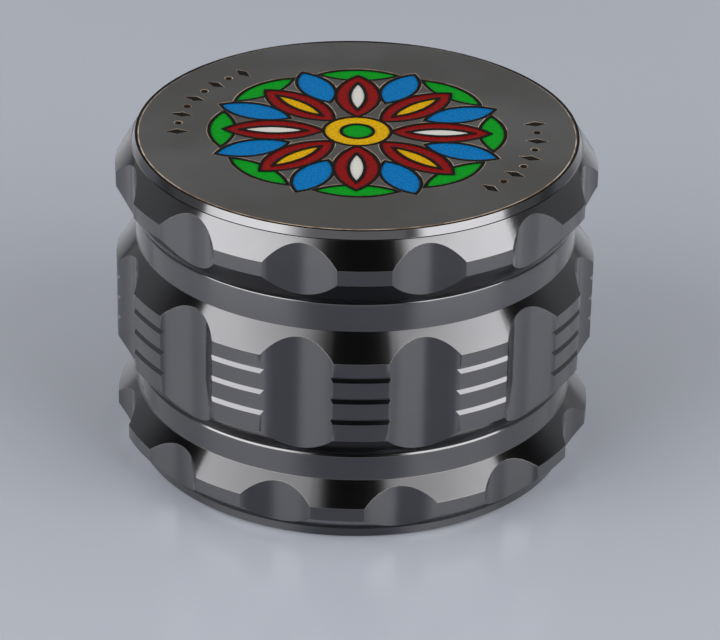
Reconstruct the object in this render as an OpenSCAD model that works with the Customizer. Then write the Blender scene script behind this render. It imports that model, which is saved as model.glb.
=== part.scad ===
// Four-part hand grinder: fluted lid, toothed grinding chamber, sieve chamber and catch base.
// Millimetres, +Z up. The origin is the centre of the foot, on the surface the grinder stands on.

/* [Grip] */
// Diameter over the grip lands, shared by the three fluted sections
grip_d = 63; // [58:0.5:70]
// Number of finger flutes round each fluted section
flute_count = 12; // [9:1:13]
// Radius of the cutter that makes a flute in the sieve chamber and the base
flute_r = 8; // [7.4:0.1:9]
// Depth of such a flute below the grip land
flute_depth = 1.9; // [1.2:0.05:2.1]
// Radius of the cutter that makes a flute in the lid
lid_flute_r = 9.2; // [8:0.1:10]
// Depth of such a flute below the grip land
lid_flute_depth = 1.7; // [1.2:0.05:1.9]
// Where the first flute of the lid stands at rest, in degrees
lid_turn = 17.3; // [0:0.1:30]
// Where the first flute of the sieve chamber stands at rest, in degrees
stash_turn = 16.9; // [0:0.1:30]
// Where the first flute of the base stands at rest, in degrees
base_turn = 11.9; // [0:0.1:30]

/* [Steps in from the grip] */
// How far the smooth bands lie in from the grip lands
band_inset = 2.6; // [2.3:0.05:2.8]
// How far the edge of the foot lies in from the grip lands
foot_inset = 2.6; // [1:0.1:4]
// How far the edge of the lid's flat face lies in from the grip lands
face_inset = 2.6; // [2.4:0.05:3.2]
// Width of the bevel round the flat face
lid_bevel_w = 0.5; // [0.3:0.05:0.6]

/* [Outside heights] */
// Height of the foot
foot_h = 1.05; // [0.8:0.05:1.6]
// Height of the undercut between foot and grip land
foot_chamfer_h = 2.65; // [2.2:0.05:3.2]
// Height of the grip land of the base
base_land_h = 1.85; // [1.4:0.05:3]
// Height of the cone above the grip land of the base
base_cone_h = 2.8; // [2.4:0.05:3.4]
// Height of the smooth band at the top of the base
base_band_h = 3.55; // [3:0.05:5]
// Height of the cone under the grip land of the sieve chamber
stash_under_h = 3.4; // [2.8:0.05:4.2]
// Height of the grip land of the sieve chamber
stash_land_h = 11.05; // [9.4:0.05:15]
// Height of the cone above the grip land of the sieve chamber
stash_cone_h = 3.3; // [2.8:0.05:4.2]
// Height of the smooth band of the grinding chamber
chamber_band_h = 3.75; // [3.6:0.05:5]
// Height of the cone under the grip land of the lid
lid_under_h = 3.8; // [3.4:0.05:4.6]
// Height of the grip land of the lid
lid_land_h = 2; // [1.6:0.05:3.4]
// Height of the cone above the grip land of the lid
lid_cone_h = 3.25; // [2.8:0.05:4]
// Height of the bevel round the flat face
lid_bevel_h = 1.05; // [0.9:0.05:1.3]

/* [Turned grip grooves] */
// Number of grooves round the tall grip land
groove_count = 3; // [1:1:3]
// Distance from one groove to the next
groove_pitch = 3; // [2:0.1:3.2]
// Width of a groove at the grip land
groove_w = 0.84; // [0.5:0.02:1.1]
// Width of its flat bottom
groove_bottom_w = 0.12; // [0.06:0.02:0.3]
// Depth of a groove below the grip land
groove_depth = 0.4; // [0.2:0.02:0.5]
// Height of the middle groove above the middle of the land
groove_rise = 0.25; // [0:0.05:0.5]

/* [Screwed joints] */
// Distance from the root of the female thread to the core of the male one
thread_depth = 0.6; // [0.4:0.05:0.8]
// Length of the male thread
thread_len = 5; // [4:0.1:5.2]
// Wall of the male skirt, measured at the core of its thread
skirt_wall = 1.6; // [1.4:0.05:1.8]
// Space left under the end of a male skirt
thread_end_gap = 0.3; // [0.2:0.05:0.5]

/* [Rings in the seams] */
// Gap that shows between a band and the section above it
seam_gap = 0.2; // [0.1:0.02:0.3]
// Depth of the ring's seat below the rim
ring_seat = 0.6; // [0.4:0.05:0.7]
// Width of a ring, measured along its radius
ring_w = 1.1; // [0.8:0.05:1.3]
// Wall of a band outside a seal
seal_wall = 0.6; // [0.5:0.05:0.9]
// Wall of the band outside the glide ring
glide_wall = 0.4; // [0.3:0.05:0.6]
// Clearance between a ring and the walls of its seat
ring_clear = 0.05; // [0.02:0.01:0.08]

/* [Base] */
// Thickness of the floor of the bowl
bowl_floor_t = 1.6; // [1.2:0.1:2.2]
// Radius between the floor and the wall of the bowl
bowl_fillet_r = 3; // [1.5:0.1:4]
// Depth of the recess under the base
underside_recess = 0.4; // [0.2:0.05:0.6]
// Width of the foot's flat ring
foot_ring_w = 3.4; // [2:0.1:5]

/* [Sieve] */
// Wall between the sieve chamber's cavity and its flutes
stash_wall = 4.3; // [3.4:0.1:5]
// Width of the ledge that the sieve bears on
sieve_ledge_w = 1.3; // [1:0.1:1.6]
// Thickness of the ledge at its inner edge
sieve_ledge_t = 0.7; // [0.5:0.05:1.2]
// Height of the slope from the wall of the cavity down to the ledge
funnel_h = 2; // [1:0.1:3]
// Thickness of the frame that grips the mesh
sieve_frame_t = 0.65; // [0.5:0.05:0.8]
// Width of the frame, measured along its radius
sieve_frame_w = 1.05; // [0.9:0.05:1.3]
// Thickness of the woven mesh
mesh_t = 0.16; // [0.1:0.02:0.24]
// Thickness of the snap ring
snap_t = 0.6; // [0.4:0.05:0.8]
// How far the snap ring stands in its groove
snap_bite = 0.4; // [0.2:0.05:0.5]
// How far the snap ring reaches under the frame
snap_reach = 0.95; // [0.6:0.05:1.2]
// Angle of the gap in the snap ring
snap_gap_angle = 12; // [6:1:24]
// Radius of the plier holes in the snap ring's ends
snap_hole_r = 0.5; // [0.4:0.05:0.6]
// Radius of the lugs round those holes
snap_lug_r = 1.05; // [1:0.05:1.2]
// How far the lugs are centred inside the snap ring's bore
snap_lug_inset = 0.2; // [0.1:0.05:0.4]
// Clearance round the sieve's parts in their seat
sieve_clear = 0.05; // [0.02:0.01:0.1]

/* [Grinding chamber] */
// Thickness of the rim that the lid turns on
spigot_wall = 1.6; // [1.2:0.05:1.9]
// Running clearance between the rim and the lid, measured on the radius
spigot_clear = 0.08; // [0.03:0.01:0.1]
// Gap between the top of the rim and the lid's ceiling
spigot_end_gap = 0.6; // [0.4:0.05:0.9]
// Thickness of the perforated floor
chamber_floor_t = 2.2; // [1.8:0.05:2.4]
// Height of the floor's underside above the bottom of the band
chamber_floor_rise = 0.45; // [0.2:0.05:0.6]
// Diameter of the holes in the floor
hole_d = 2.9; // [2.4:0.05:3]
// Distance from one hole to the next round a ring
hole_spacing = 7.1; // [5:0.1:9]
// Floor left between the outermost holes and the skirt below
hole_edge_w = 0.35; // [0.3:0.05:0.5]

/* [Teeth] */
// Distance from one ring of teeth to the next, lid and chamber in turn
tooth_ring_pitch = 3; // [2.8:0.05:3.4]
// Distance from one tooth to the next round a ring
tooth_spacing = 9.1; // [7:0.1:12]
// Gap between the outermost teeth and the chamber's rim
tooth_wall_gap = 1.1; // [0.8:0.05:1.5]
// Least gap between the innermost teeth and the magnet's boss
tooth_boss_gap = 2; // [1.5:0.1:4]
// Width of a tooth along the radius
tooth_w = 2.4; // [1.8:0.05:2.5]
// Width of its flat tip along the radius
tooth_tip_w = 1.2; // [0.8:0.05:1.6]
// Length of a tooth round the ring
tooth_l = 3.8; // [2.8:0.1:4.2]
// Gap between a tooth's tip and the face opposite
tooth_tip_gap = 0.4; // [0.3:0.05:0.8]
// Height of the bevel at a tooth's tip
tooth_bevel = 0.7; // [0.3:0.05:1.2]

/* [Magnets] */
// Diameter of a magnet
magnet_d = 6.8; // [5:0.1:7.4]
// Thickness of a magnet
magnet_t = 2; // [1.2:0.1:2.2]
// Wall round a magnet
magnet_wall = 1.2; // [0.8:0.1:1.6]
// Gap between the two magnets with the lid on
magnet_gap = 0.4; // [0.3:0.05:0.8]
// How far the lid's boss stands down from its ceiling
lid_boss_h = 1.3; // [0.8:0.1:2]
// Clearance round a magnet in its pocket
magnet_clear = 0.03; // [0.02:0.01:0.06]

/* [Top disc] */
// Thickness of the inlaid disc
disc_t = 0.8; // [0.6:0.05:1]
// Thickness of the adhesive film under it
adhesive_t = 0.15; // [0.1:0.01:0.25]
// Width of the metal edge left round the disc
disc_edge_w = 0.35; // [0.25:0.05:0.5]
// Clearance round the disc in its recess
disc_clear = 0.05; // [0.02:0.01:0.08]
// How far the adhesive film stops short of the disc's edge
adhesive_inset = 1; // [0.5:0.1:2]
// Thickness of the lid's top plate under the disc
lid_plate_t = 2.35; // [2.1:0.05:2.6]

/* [Enamel] */
// Depth of the enamel in the disc
enamel_depth = 0.35; // [0.25:0.05:0.5]
// How far the colours lie below the black lines
enamel_sink = 0.1; // [0.04:0.01:0.15]
// Width of the black lines round each colour
line_w = 0.42; // [0.3:0.02:0.5]
// Petals in the rosette
petal_count = 8; // [6:2:8]
// Radius of the jewel at the centre
jewel_r = 1.9; // [1.5:0.1:2.1]
// Radius of the yellow ring round it
hub_r = 4.2; // [3.8:0.1:4.4]
// Length of a petal
petal_l = 12.5; // [11:0.1:13]
// Width of a petal
petal_w = 5.5; // [4.4:0.1:5.7]
// Length of the core in a petal
core_l = 7.6; // [6:0.1:8.4]
// Width of the core in a petal
core_w = 1.7; // [1.2:0.1:2]
// How far outside the petals' middle the leaves between them are centred
leaf_lead = 3.7; // [3.2:0.1:4.2]
// Length of such a leaf
leaf_l = 9.6; // [8:0.1:10]
// Width of such a leaf
leaf_w = 4.2; // [3.4:0.1:4.4]
// How far outside those leaves the outer leaves are centred
frond_lead = 3; // [2.6:0.1:3.4]
// Length of an outer leaf
frond_l = 10; // [8:0.1:10.5]
// Width of an outer leaf
frond_w = 3; // [2.4:0.1:3.2]
// How far the two arcs of marks lie in from the disc's edge
mark_inset = 5.1; // [4.6:0.1:5.5]
// Number of marks in an arc
mark_count = 9; // [5:2:11]
// Angle from one mark to the next
mark_step = 6.4; // [5.5:0.1:6.6]
// Length of a diamond mark along the radius
mark_l = 2.8; // [2:0.1:3.2]
// Width of a diamond mark
mark_w = 1.3; // [0.8:0.1:1.6]
// Radius of a round mark
mark_dot_r = 0.45; // [0.3:0.05:0.6]
// Where the middle of the left arc stands, in degrees
left_arc_angle = 157; // [140:1:170]
// Where the middle of the right arc stands, in degrees
right_arc_angle = -18; // [-40:1:0]

/* [Hidden] */
$fn = 96;
// Overlap that makes a cut run clean through a face
over = 1;
metal = "#6b6c70";
bright = "#c4c6c9";

// Radii of the outside
grip_r = grip_d / 2;
band_r = grip_r - band_inset;
foot_r = grip_r - foot_inset;
face_r = grip_r - face_inset;
rim_r = face_r + lid_bevel_w;
flute_floor_r = grip_r - flute_depth;
disc_seat_r = face_r - disc_edge_w;
disc_r = disc_seat_r - disc_clear;

// Radii of the screwed joints, from the band inwards
ring_seat_w = ring_w + 2 * ring_clear;
seal_seat_r = band_r - seal_wall;
thread_bore_r = seal_seat_r - ring_seat_w;
thread_core_r = thread_bore_r - thread_depth;
skirt_bore_r = thread_core_r - skirt_wall;
stash_bore_r = flute_floor_r - stash_wall;

// Radii of the grinding chamber, from the band inwards
glide_seat_r = band_r - glide_wall;
spigot_r = glide_seat_r - ring_seat_w;
lid_bore_r = spigot_r + spigot_clear;
spigot_bore_r = spigot_r - spigot_wall;
boss_r = magnet_d / 2 + magnet_wall;

// Heights of the outside, from the foot up
foot_top = foot_h;
base_land_z = foot_top + foot_chamfer_h;
base_land_top = base_land_z + base_land_h;
base_band_z = base_land_top + base_cone_h;
base_top = base_band_z + base_band_h;
stash_z = base_top + seam_gap;
stash_land_z = stash_z + stash_under_h;
stash_land_top = stash_land_z + stash_land_h;
stash_top = stash_land_top + stash_cone_h;
chamber_top = stash_top + chamber_band_h;
lid_z = chamber_top + seam_gap;
lid_land_z = lid_z + lid_under_h;
lid_land_top = lid_land_z + lid_land_h;
rim_z = lid_land_top + lid_cone_h;
face_z = rim_z + lid_bevel_h;

// Heights of the inside
bowl_z = underside_recess + bowl_floor_t;
base_bore_z = stash_z - thread_len - thread_end_gap;
stash_skirt_z = stash_z - thread_len;
stash_bore_z = stash_top - thread_len - thread_end_gap;
chamber_skirt_z = stash_top - thread_len;
chamber_floor_z = stash_top + chamber_floor_rise;
chamber_floor_top = chamber_floor_z + chamber_floor_t;
disc_z = face_z - disc_t;
disc_seat_z = disc_z - adhesive_t;
ceiling_z = disc_seat_z - lid_plate_t;
spigot_top = ceiling_z - spigot_end_gap;
lid_magnet_z = ceiling_z - lid_boss_h;
post_top = lid_magnet_z - magnet_gap;

// The sieve hangs under its ledge in the skirt of the sieve chamber
ledge_z = stash_z + snap_t + sieve_frame_t + sieve_clear;
ledge_bore_r = skirt_bore_r - sieve_ledge_w;
frame_z = ledge_z - sieve_frame_t;
frame_r = skirt_bore_r - sieve_clear;
frame_bore_r = frame_r - sieve_frame_w;
mesh_z = frame_z + (sieve_frame_t - mesh_t) / 2;
mesh_r = frame_r - sieve_frame_w / 2;
snap_z = frame_z - snap_t - sieve_clear;
snap_r = skirt_bore_r + snap_bite;
snap_bore_r = skirt_bore_r - snap_reach;

// Enamel
enamel_z = face_z - enamel_depth;
petal_ring_r = hub_r + line_w + petal_l / 2;
petal_step = 360 / petal_count;
leaf_ring_r = petal_ring_r + leaf_lead;
frond_ring_r = leaf_ring_r + frond_lead;
mark_ring_r = disc_r - mark_inset;

// Rings of teeth, counted from the outermost inwards: the even ones hang from the lid, over a ring of
// holes in the chamber's floor, and the odd ones stand in the chamber
outer_ring_r = spigot_bore_r - tooth_wall_gap - tooth_w / 2;
last_ring = floor((outer_ring_r - tooth_w / 2 - tooth_boss_gap - boss_r) / tooth_ring_pitch);
hole_inset = outer_ring_r - (skirt_bore_r - hole_edge_w - hole_d / 2);
function ring_radius(ring) = outer_ring_r - ring * tooth_ring_pitch;
function copies_round(r, spacing) = round(2 * PI * r / spacing);

// ---- shapes that several pieces share ----

// A solid turned from a half outline of [radius, height] points
module turned(outline) {
    rotate_extrude()
        polygon(outline);
}

// A flat ring
module ring(inner_r, outer_r, z, height) {
    translate([0, 0, z])
        difference() {
            cylinder(r = outer_r, h = height);
            translate([0, 0, -over])
                cylinder(r = inner_r, h = height + 2 * over);
        }
}

// A plain cylinder on the axis, from one height to another
module drum(r, from_z, to_z) {
    translate([0, 0, from_z])
        cylinder(r = r, h = to_z - from_z);
}

// Upright cutters for the finger flutes of one section
module flutes(cutter_r, depth, turn, from_z, to_z) {
    for (i = [0 : flute_count - 1])
        rotate([0, 0, turn + i * 360 / flute_count])
            translate([grip_r - depth + cutter_r, 0, from_z])
                cylinder(r = cutter_r, h = to_z - from_z);
}

// One diamond tooth, with its long diagonal round the ring
module tooth(height) {
    linear_extrude(height)
        polygon([[-tooth_w / 2, 0], [0, -tooth_l / 2], [tooth_w / 2, 0], [0, tooth_l / 2]]);
}

// A ring of teeth from one height to another, its tips bevelled on both sides
module tooth_ring(ring, from_z, to_z, tip_up) {
    r = ring_radius(ring);
    count = copies_round(r, tooth_spacing);
    half = tooth_w / 2 + over;
    low_w = tip_up ? half : tooth_tip_w / 2;
    high_w = tip_up ? tooth_tip_w / 2 : half;
    low_turn = tip_up ? from_z : from_z + tooth_bevel;
    high_turn = tip_up ? to_z - tooth_bevel : to_z;
    intersection() {
        for (i = [0 : count - 1])
            rotate([0, 0, (i + ring / 2) * 360 / count])
                translate([r, 0, from_z])
                    tooth(to_z - from_z);
        turned([[r - low_w, from_z], [r + low_w, from_z], [r + half, low_turn], [r + half, high_turn],
                [r + high_w, to_z], [r - high_w, to_z], [r - half, high_turn], [r - half, low_turn]]);
    }
}

// ---- catch base ----

module catch_base() {
    color(metal)
    difference() {
        turned([[0, 0], [foot_r, 0], [foot_r, foot_top], [grip_r, base_land_z], [grip_r, base_land_top],
                [band_r, base_band_z], [band_r, base_top], [0, base_top]]);
        flutes(flute_r, flute_depth, base_turn, -over, base_top + over);
        drum(foot_r - foot_ring_w, -over, underside_recess);
        // Bowl with a filleted floor
        difference() {
            drum(skirt_bore_r, bowl_z, base_top + over);
            bowl_fillet();
        }
        drum(thread_bore_r, base_bore_z, base_top + over);
        drum(seal_seat_r, base_top - ring_seat, base_top + over);
    }
}

// The ring of metal that rounds the corner of the bowl
module bowl_fillet() {
    rotate_extrude()
        translate([skirt_bore_r - bowl_fillet_r, bowl_z])
            difference() {
                translate([0, -over])
                    square([bowl_fillet_r + over, bowl_fillet_r + over]);
                translate([0, bowl_fillet_r])
                    circle(r = bowl_fillet_r);
            }
}

// ---- rings in the seams ----

// A ring in the seat round a bore or rim, standing a little above the band's top or level with it
module seam_ring(inner_r, band_top, stand) {
    ring(inner_r + ring_clear, inner_r + ring_clear + ring_w, band_top - ring_seat, ring_seat + stand);
}

module base_seal() {
    color("#202124")
        seam_ring(thread_bore_r, base_top, seam_gap);
}

module chamber_seal() {
    color("#202124")
        seam_ring(thread_bore_r, stash_top, 0);
}

module glide_ring() {
    color("#2a2b2e")
        seam_ring(spigot_r, chamber_top, seam_gap);
}

// ---- sieve chamber ----

module stash_chamber() {
    middle_z = (stash_land_z + stash_land_top) / 2 + groove_rise;
    first = -(groove_count - 1) / 2;
    color(metal)
    difference() {
        union() {
            turned([[0, stash_z], [band_r, stash_z], [grip_r, stash_land_z], [grip_r, stash_land_top],
                    [band_r, stash_top], [0, stash_top]]);
            drum(thread_core_r, stash_skirt_z, stash_z + over);
        }
        flutes(flute_r, flute_depth, stash_turn, stash_z - over, stash_top + over);
        // Turned grooves with sloping walls, which the flutes break up
        for (i = [0 : groove_count - 1])
            translate([0, 0, middle_z + (first + i) * groove_pitch])
                grip_groove();
        // Cavity, with a slope down to the sieve
        drum(stash_bore_r, ledge_z + sieve_ledge_t + funnel_h, stash_top + over);
        turned([[0, ledge_z + sieve_ledge_t], [ledge_bore_r, ledge_z + sieve_ledge_t],
                [stash_bore_r, ledge_z + sieve_ledge_t + funnel_h], [0, ledge_z + sieve_ledge_t + funnel_h]]);
        drum(ledge_bore_r, ledge_z - over, ledge_z + sieve_ledge_t + over);
        drum(skirt_bore_r, stash_skirt_z - over, ledge_z);
        drum(snap_r + sieve_clear, snap_z - sieve_clear, frame_z);
        drum(thread_bore_r, stash_bore_z, stash_top + over);
        drum(seal_seat_r, stash_top - ring_seat, stash_top + over);
    }
}

// Cutter for one grip groove, level with the middle of the groove
module grip_groove() {
    bottom_r = grip_r - groove_depth;
    turned([[bottom_r, -groove_bottom_w / 2], [grip_r, -groove_w / 2], [grip_r + over, -groove_w / 2],
            [grip_r + over, groove_w / 2], [grip_r, groove_w / 2], [bottom_r, groove_bottom_w / 2]]);
}

module sieve_frame() {
    color(bright)
    difference() {
        ring(frame_bore_r, frame_r, frame_z, sieve_frame_t);
        drum(mesh_r, mesh_z, mesh_z + mesh_t);
    }
}

module sieve_mesh() {
    color("#d9dadb")
        drum(mesh_r, mesh_z, mesh_z + mesh_t);
}

// Internal snap ring: open, with a plier hole in each end
module sieve_snap_ring() {
    lug_ring_r = snap_bore_r - snap_lug_inset;
    lug_angle = snap_gap_angle / 2 + asin(snap_lug_r / lug_ring_r);
    color(bright)
    difference() {
        union() {
            ring(snap_bore_r, snap_r, snap_z, snap_t);
            for (side = [-1, 1])
                rotate([0, 0, side * lug_angle])
                    translate([lug_ring_r, 0, snap_z])
                        cylinder(r = snap_lug_r, h = snap_t);
        }
        translate([0, 0, snap_z - over])
            linear_extrude(snap_t + 2 * over)
                polygon([[0, 0],
                         [grip_r, grip_r * tan(snap_gap_angle / 2)],
                         [grip_r, -grip_r * tan(snap_gap_angle / 2)]]);
        for (side = [-1, 1])
            rotate([0, 0, side * lug_angle])
                translate([lug_ring_r, 0, snap_z - over])
                    cylinder(r = snap_hole_r, h = snap_t + 2 * over);
    }
}

// ---- grinding chamber ----

module grinding_chamber() {
    color(metal)
    difference() {
        union() {
            difference() {
                union() {
                    drum(band_r, stash_top, chamber_top);
                    drum(spigot_r, chamber_top - over, spigot_top);
                    drum(thread_core_r, chamber_skirt_z, stash_top + over);
                }
                drum(spigot_bore_r, chamber_floor_top, spigot_top + over);
                drum(skirt_bore_r, chamber_skirt_z - over, chamber_floor_z);
                ring(spigot_r, glide_seat_r, chamber_top - ring_seat, ring_seat + over);
            }
            for (k = [1 : 2 : last_ring])
                tooth_ring(k, chamber_floor_top - over, ceiling_z - tooth_tip_gap, true);
            drum(boss_r, chamber_floor_top - over, post_top);
        }
        drum(magnet_d / 2 + magnet_clear, post_top - magnet_t, post_top + over);
        for (k = [0 : 2 : last_ring])
            hole_ring(ring_radius(k) - hole_inset);
    }
}

// Cutters for one ring of holes through the floor
module hole_ring(r) {
    count = copies_round(r, hole_spacing);
    for (i = [0 : count - 1])
        rotate([0, 0, (i + 0.5) * 360 / count])
            translate([r, 0, chamber_floor_z - over])
                cylinder(d = hole_d, h = chamber_floor_t + 2 * over);
}

module chamber_magnet() {
    color(bright)
        drum(magnet_d / 2, post_top - magnet_t, post_top);
}

// ---- lid ----

module lid() {
    color(metal)
    difference() {
        union() {
            difference() {
                turned([[0, lid_z], [band_r, lid_z], [grip_r, lid_land_z], [grip_r, lid_land_top],
                        [rim_r, rim_z], [face_r, face_z], [0, face_z]]);
                flutes(lid_flute_r, lid_flute_depth, lid_turn, lid_z - over, rim_z);
                drum(lid_bore_r, lid_z - over, ceiling_z);
            }
            for (k = [0 : 2 : last_ring])
                tooth_ring(k, chamber_floor_top + tooth_tip_gap, ceiling_z + over, false);
            drum(boss_r, lid_magnet_z, ceiling_z + over);
        }
        drum(magnet_d / 2 + magnet_clear, lid_magnet_z - over, lid_magnet_z + magnet_t);
        drum(disc_seat_r, disc_seat_z, face_z + over);
    }
}

module lid_magnet() {
    color(bright)
        drum(magnet_d / 2, lid_magnet_z, lid_magnet_z + magnet_t);
}

// ---- top disc and its enamel ----

module disc_adhesive() {
    color("#e8e4d6")
        drum(disc_r - adhesive_inset, disc_seat_z, disc_z);
}

module top_disc() {
    color("#4c4d4f")
    difference() {
        drum(disc_r, disc_z, face_z);
        enamel(enamel_depth + over)
            whole_pattern(line_w);
    }
}

// Sinks a flat pattern into the disc, to a height above the enamel's floor
module enamel(height) {
    translate([0, 0, enamel_z])
        linear_extrude(height)
            children();
}

// A leaf: two arcs that meet in points. grow widens it evenly.
module leaf(length, width, grow) {
    arc_r = (length * length / 4 + width * width / 4) / width;
    intersection() {
        translate([0, arc_r - width / 2])
            circle(r = arc_r + grow);
        translate([0, width / 2 - arc_r])
            circle(r = arc_r + grow);
    }
}

// Leaves round the centre, pointing outwards or, with tilt 90, along the ring
module leaf_ring(ring_r, start, step, length, width, grow, tilt = 0) {
    for (a = [start : step : start + 360 - step / 2])
        rotate([0, 0, a])
            translate([ring_r, 0])
                rotate([0, 0, tilt])
                    leaf(length, width, grow);
}

module petals(grow) {
    leaf_ring(petal_ring_r, 0, petal_step, petal_l, petal_w, grow);
}

module cores(start, grow) {
    leaf_ring(petal_ring_r, start, 2 * petal_step, core_l, core_w, grow);
}

module leaves(grow) {
    leaf_ring(leaf_ring_r, petal_step / 2, petal_step, leaf_l, leaf_w, grow);
}

module fronds(grow) {
    leaf_ring(frond_ring_r, 0, petal_step, frond_l, frond_w, grow, 90);
}

// Diamonds and dots in turn along one arc
module mark_arc(middle) {
    for (i = [0 : mark_count - 1])
        rotate([0, 0, middle + (i - (mark_count - 1) / 2) * mark_step])
            translate([mark_ring_r, 0])
                if (i % 2 == 0)
                    polygon([[-mark_l / 2, 0], [0, -mark_w / 2], [mark_l / 2, 0], [0, mark_w / 2]]);
                else
                    circle(r = mark_dot_r);
}

module marks() {
    mark_arc(left_arc_angle);
    mark_arc(right_arc_angle);
}

module whole_pattern(grow) {
    circle(r = hub_r + grow);
    petals(grow);
    leaves(grow);
    fronds(grow);
    marks();
}

module enamel_black() {
    color("#101010")
    difference() {
        enamel(enamel_depth)
            whole_pattern(line_w);
        enamel(enamel_depth + over) red_cells();
        enamel(enamel_depth + over) blue_cells();
        enamel(enamel_depth + over) green_cells();
        enamel(enamel_depth + over) yellow_cells();
        enamel(enamel_depth + over) white_cells();
    }
}

module red_cells() {
    difference() {
        petals(0);
        circle(r = hub_r + line_w);
        cores(0, line_w);
        cores(petal_step, line_w);
    }
}

module blue_cells() {
    difference() {
        leaves(0);
        petals(line_w);
    }
}

module green_cells() {
    circle(r = jewel_r);
    difference() {
        fronds(0);
        petals(line_w);
        leaves(line_w);
    }
}

module yellow_cells() {
    difference() {
        circle(r = hub_r);
        circle(r = jewel_r + line_w);
    }
    cores(petal_step, 0);
}

module white_cells() {
    cores(0, 0);
}

module enamel_red() {
    color("#8f1512") enamel(enamel_depth - enamel_sink) red_cells();
}

module enamel_blue() {
    color("#0072b8") enamel(enamel_depth - enamel_sink) blue_cells();
}

module enamel_green() {
    color("#0a9a1e") enamel(enamel_depth - enamel_sink) green_cells();
}

module enamel_yellow() {
    color("#d9ad0c") enamel(enamel_depth - enamel_sink) yellow_cells();
}

module enamel_white() {
    color("#cfcfca") enamel(enamel_depth - enamel_sink) white_cells();
}

catch_base();
base_seal();
stash_chamber();
sieve_frame();
sieve_mesh();
sieve_snap_ring();
chamber_seal();
grinding_chamber();
chamber_magnet();
glide_ring();
lid();
lid_magnet();
disc_adhesive();
top_disc();
enamel_black();
enamel_red();
enamel_blue();
enamel_green();
enamel_yellow();
enamel_white();
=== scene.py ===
import math

import bmesh
import bpy
from mathutils import Matrix, Vector


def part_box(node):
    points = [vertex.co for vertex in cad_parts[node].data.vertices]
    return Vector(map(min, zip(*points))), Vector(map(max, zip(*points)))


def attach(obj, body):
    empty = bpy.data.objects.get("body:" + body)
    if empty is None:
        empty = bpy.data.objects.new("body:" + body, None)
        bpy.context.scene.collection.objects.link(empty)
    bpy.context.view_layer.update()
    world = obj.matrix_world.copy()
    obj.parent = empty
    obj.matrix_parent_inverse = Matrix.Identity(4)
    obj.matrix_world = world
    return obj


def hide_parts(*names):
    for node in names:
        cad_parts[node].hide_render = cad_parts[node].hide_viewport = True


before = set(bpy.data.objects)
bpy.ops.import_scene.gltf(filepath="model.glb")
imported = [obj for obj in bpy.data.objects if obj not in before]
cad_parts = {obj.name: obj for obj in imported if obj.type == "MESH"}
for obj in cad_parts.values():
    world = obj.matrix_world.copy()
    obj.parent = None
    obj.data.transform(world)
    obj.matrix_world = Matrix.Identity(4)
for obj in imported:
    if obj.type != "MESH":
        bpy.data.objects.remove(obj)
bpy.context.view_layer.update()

MM = 0.001


# ---- sizes, in millimetres and degrees ----

def top_of(node):
    """Height of the top of a CAD node."""
    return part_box(node)[1].z / MM


def foot_of(node):
    """Height of the bottom of a CAD node."""
    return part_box(node)[0].z / MM


def reach_of(node):
    """Radius of a round CAD node."""
    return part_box(node)[1].x / MM


# Outside radii, stepped out from the disc in the lid
SEAT_CLEAR = 0.05
SEAT_RIM_W = 0.35
LID_BEVEL_W = 0.5
GRIP_PROUD = 2.6
DISC_SEAT_R = reach_of("top_disc") + SEAT_CLEAR
FACE_R = DISC_SEAT_R + SEAT_RIM_W
RIM_R = FACE_R + LID_BEVEL_W
BAND_R = FACE_R
FOOT_R = FACE_R
GRIP_R = FACE_R + GRIP_PROUD

# Flutes round the three grip sections
FLUTE_COUNT = 12
LID_TURN = 17.3
STASH_TURN = 16.9
BASE_TURN = 11.9

# Heights of the base
FOOT_TOP = 1.05
BASE_LAND = 3.7
BASE_LAND_TOP = 5.55
BASE_BAND = 8.35
BASE_TOP = top_of("catch_base")
RECESS = 0.4
FOOT_RING_W = 3.4
BOWL_FLOOR = 2.0
BOWL_FILLET = 3.0

# Heights of the sieve chamber
STASH_UNDER_H = 3.4
STASH_LAND_H = 11.05
STASH_FOOT = top_of("base_seal")
STASH_LAND = STASH_FOOT + STASH_UNDER_H
STASH_LAND_TOP = STASH_LAND + STASH_LAND_H
STASH_TOP = top_of("stash_chamber")

# Grip grooves round the sieve chamber
GROOVE_PITCH = 3.0
GROOVE_RISE = 0.25
GROOVE_MIDDLE = (STASH_LAND + STASH_LAND_TOP) / 2 + GROOVE_RISE
GROOVES = [GROOVE_MIDDLE + i * GROOVE_PITCH for i in (-1, 0, 1)]
GROOVE_HALF = 0.42
GROOVE_BOTTOM = 0.08
GROOVE_BOTTOM_TOP = 0.14
GROOVE_DEPTH = 0.35

# Heights of the grinding chamber and the lid
RING_SEAT = 0.6
LID_UNDER_H = 3.8
LID_LAND_H = 2.0
LID_CONE_H = 3.25
LID_PLATE_T = 2.35
FLOOR_RISE = 0.45
FLOOR_T = 2.2
LID_FOOT = top_of("glide_ring")
CHAMBER_TOP = foot_of("glide_ring") + RING_SEAT
LID_LAND = LID_FOOT + LID_UNDER_H
LID_LAND_TOP = LID_LAND + LID_LAND_H
RIM_Z = LID_LAND_TOP + LID_CONE_H
RIM_FILLET = 0.1
RIM_TILT = 20
FACE_Z = top_of("top_disc")
DISC_SEAT_Z = foot_of("disc_adhesive")
CEILING = DISC_SEAT_Z - LID_PLATE_T
FLOOR = STASH_TOP + FLOOR_RISE
FLOOR_TOP = FLOOR + FLOOR_T

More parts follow.
